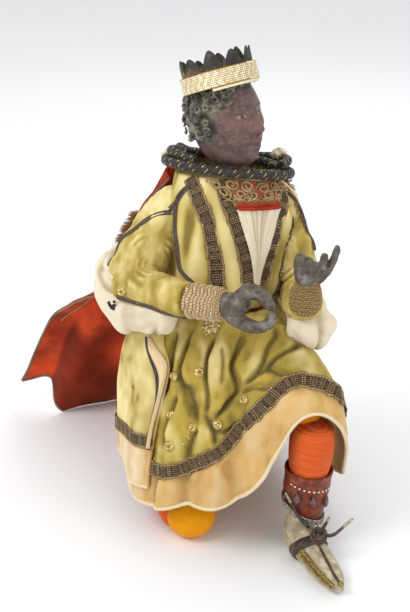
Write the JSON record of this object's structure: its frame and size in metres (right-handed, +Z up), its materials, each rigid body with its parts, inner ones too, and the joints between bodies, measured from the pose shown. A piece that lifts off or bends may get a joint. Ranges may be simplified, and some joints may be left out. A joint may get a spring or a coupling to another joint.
{
  "type": "nativity wise man figure",
  "caption": "Kneeling wise man from a dressed nativity group, with crown, curled hair, velvet tunic with braid, silk undersleeves, wound stockings, boots and a red cape",
  "frame": {"origin": "centre of the footprint of the figure, on the ground it kneels on", "axes": "+Z up, -Y to the front of the skirt, +X to his left"},
  "size_m": [0.2242, 0.2534, 0.2952],
  "materials": {
    "painted_skin": "satin dark paint on terracotta",
    "painted_hands": "worn grey-brown paint on wood",
    "curled_wool": "matted curls",
    "dark_tin": "tarnished tin",
    "gold_weave": "woven metal thread",
    "black_cord": "twisted cord with gold threads",
    "green_velvet": "worn silk velvet",
    "cream_velvet": "cream velvet",
    "cream_silk": "thin silk",
    "brown_braid": "tarnished metal braid",
    "brown_piping": "dark piping",
    "red_needlework": "embroidered red cloth",
    "red_wool": "red wool cloth",
    "yellow_cloth": "orange-yellow cloth",
    "coral_thread": "wound coral thread",
    "brown_leather": "glossy brown leather",
    "cream_leather": "worn cream leather",
    "dull_silver": "dull silver thread",
    "red_glass": "dark red glass",
    "brass": "worn gilt brass"
  },
  "bodies": {
    "root": {"head": "painted_skin", "hair": "curled_wool", "crown_band": "gold_weave", "crown_tin": "dark_tin", "collar_cord": "black_cord", "inner_cord": "black_cord", "standing_collar": "green_velvet", "yoke": "red_needlework", "plastron": "cream_silk", "bodice": "green_velvet", "chest_braid_outer_right": "brown_braid", "chest_braid_inner_right": "brown_braid", "chest_braid_inner_left": "brown_braid", "chest_braid_outer_left": "brown_braid", "armhole_piping": "brown_piping", "sleeve_piping": "brown_piping", "forearm_piping": "brown_piping", "elbow_button": "brass", "sleeve_right": "green_velvet", "sleeve_left": "green_velvet", "cuff_right": "gold_weave", "cuff_left": "gold_weave", "undersleeve_right": "cream_silk", "undersleeve_left": "cream_silk", "hand_right": "painted_hands", "hand_left": "painted_hands", "skirt_front": "green_velvet", "skirt_front_border": "cream_velvet", "skirt_front_braid": "brown_braid", "skirt_back": "green_velvet", "skirt_back_border": "cream_velvet", "skirt_back_braid": "brown_braid", "brooch": "brass", "stud_1": "brass", "stud_2": "brass", "stud_3": "brass", "stud_4": "brass", "stud_5": "brass", "stud_6": "brass", "stud_7": "brass", "breeches": "yellow_cloth", "stocking_left": "coral_thread", "stocking_right": "coral_thread", "boot_top_left": "brown_leather", "boot_lace_left": "dull_silver", "drop_1": "red_glass", "drop_2": "red_glass", "drop_3": "red_glass", "boot_left": "cream_leather", "boot_strap_left": "brown_piping", "boot_rosette_left": "brown_leather", "boot_top_right": "brown_leather", "boot_right": "cream_leather", "cape": "red_wool"}
  },
  "joints": []
}
